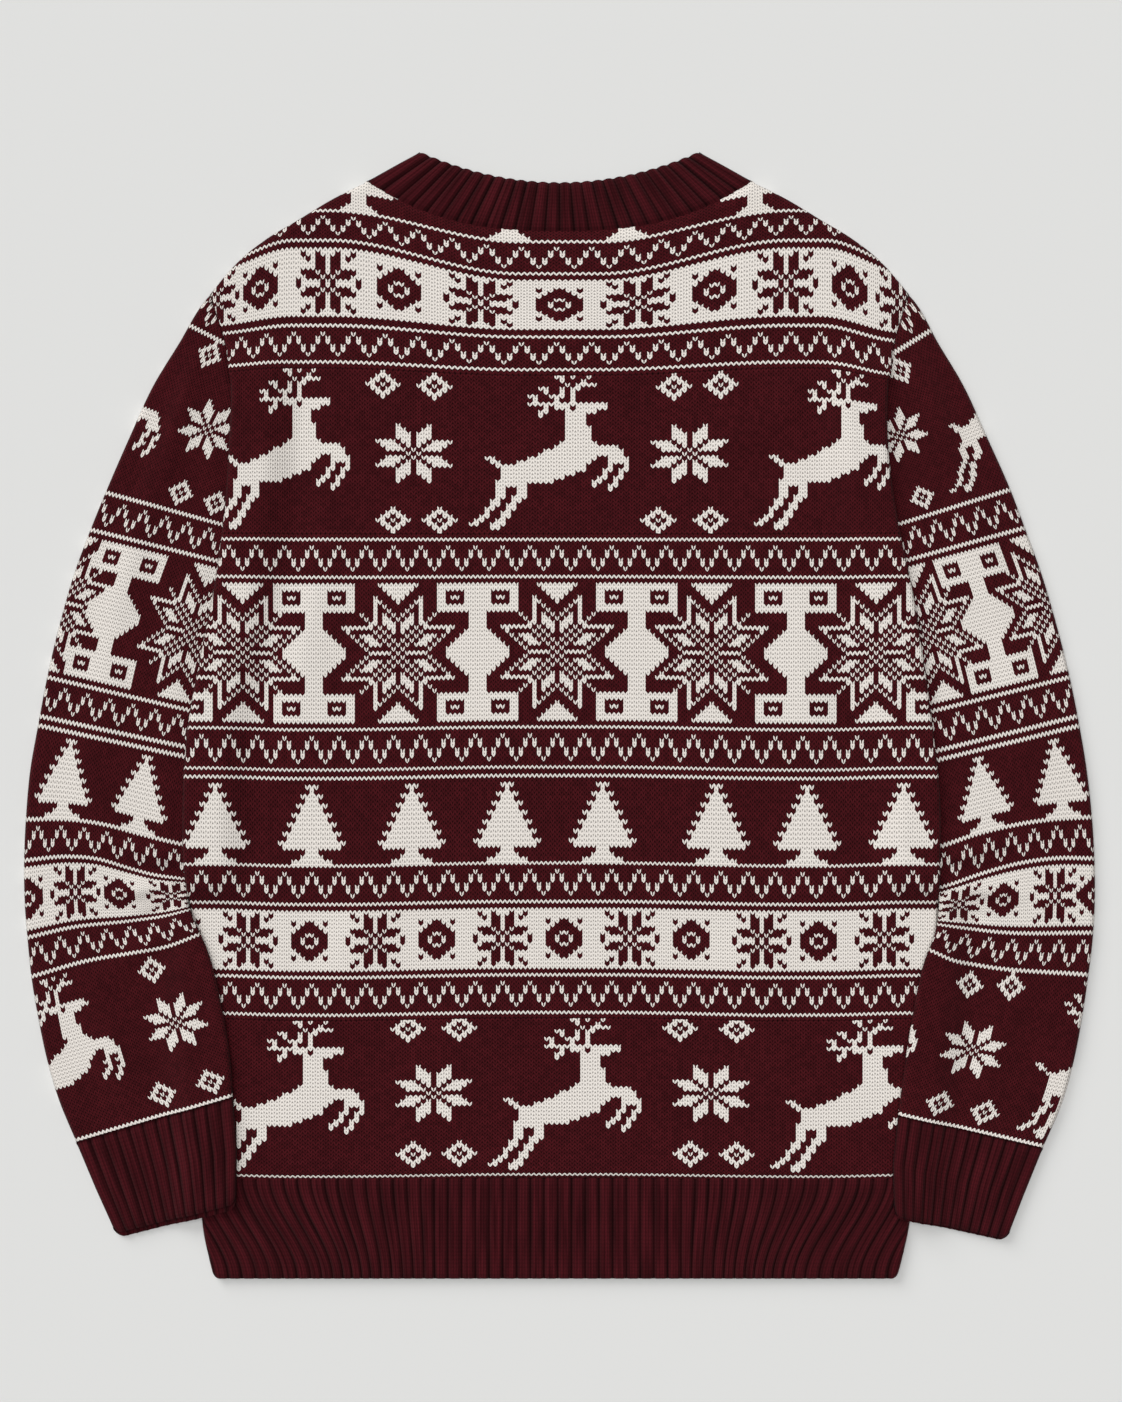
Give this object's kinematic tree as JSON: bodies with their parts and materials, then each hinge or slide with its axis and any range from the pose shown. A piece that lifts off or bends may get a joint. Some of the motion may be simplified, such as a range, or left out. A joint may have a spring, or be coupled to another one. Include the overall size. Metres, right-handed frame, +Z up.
{
  "type": "christmas sweater laid flat",
  "caption": "Crew-neck knitted pullover laid flat on its front, with folk-pattern colour bands, set-down sleeves beside the body, and ribbed neckband, hem and cuffs",
  "frame": {"origin": "on the surface that the sweater lies on, under the middle of its outline", "axes": "+Y points from the hem to the collar, +X to the right as the back is seen from above, +Z up away from the surface"},
  "size_m": [0.679, 0.7144, 0.014],
  "materials": {
    "jacquard_knit": "soft burgundy stocking-stitch knit with cream folk-pattern colour work",
    "rib_knit": "soft burgundy rib knit"
  },
  "bodies": {
    "root": {"back_panel": "jacquard_knit", "front_panel": "jacquard_knit", "sleeve_left": "jacquard_knit", "sleeve_right": "jacquard_knit", "neckband": "rib_knit", "hem_rib": "rib_knit", "cuff_left": "rib_knit", "cuff_right": "rib_knit"}
  },
  "joints": []
}
